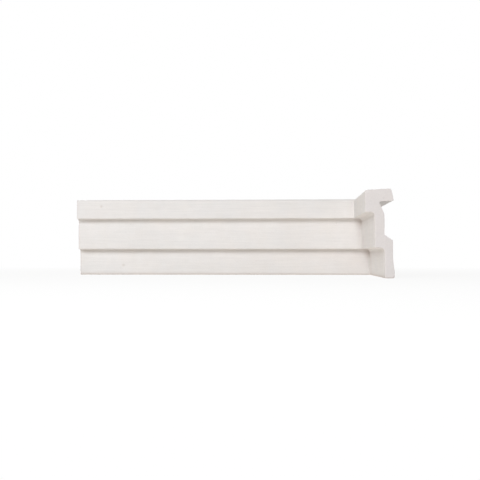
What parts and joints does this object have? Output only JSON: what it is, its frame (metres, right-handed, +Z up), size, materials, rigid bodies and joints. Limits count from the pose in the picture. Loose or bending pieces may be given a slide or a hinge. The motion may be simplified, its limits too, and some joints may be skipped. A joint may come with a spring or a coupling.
{
  "type": "inside corner crown moulding",
  "caption": "One-piece inside corner of a stepped crown moulding: a long leg and a short leg with flat stepped faces, coved soffits, a hooked top lip and a foot.",
  "frame": {"origin": "centre of the unit's outer box in plan, at its underside", "axes": "+X along the long leg towards the corner, +Y from the room into the long leg's wall, +Z up; the short leg comes forward along -Y at the +X end, against a wall at +X"},
  "size_m": [0.6096, 0.3048, 0.1538],
  "materials": {
    "cast_stone": "matte fine-grained off-white casting"
  },
  "bodies": {
    "root": {"crown_moulding_corner": "cast_stone"}
  },
  "joints": []
}
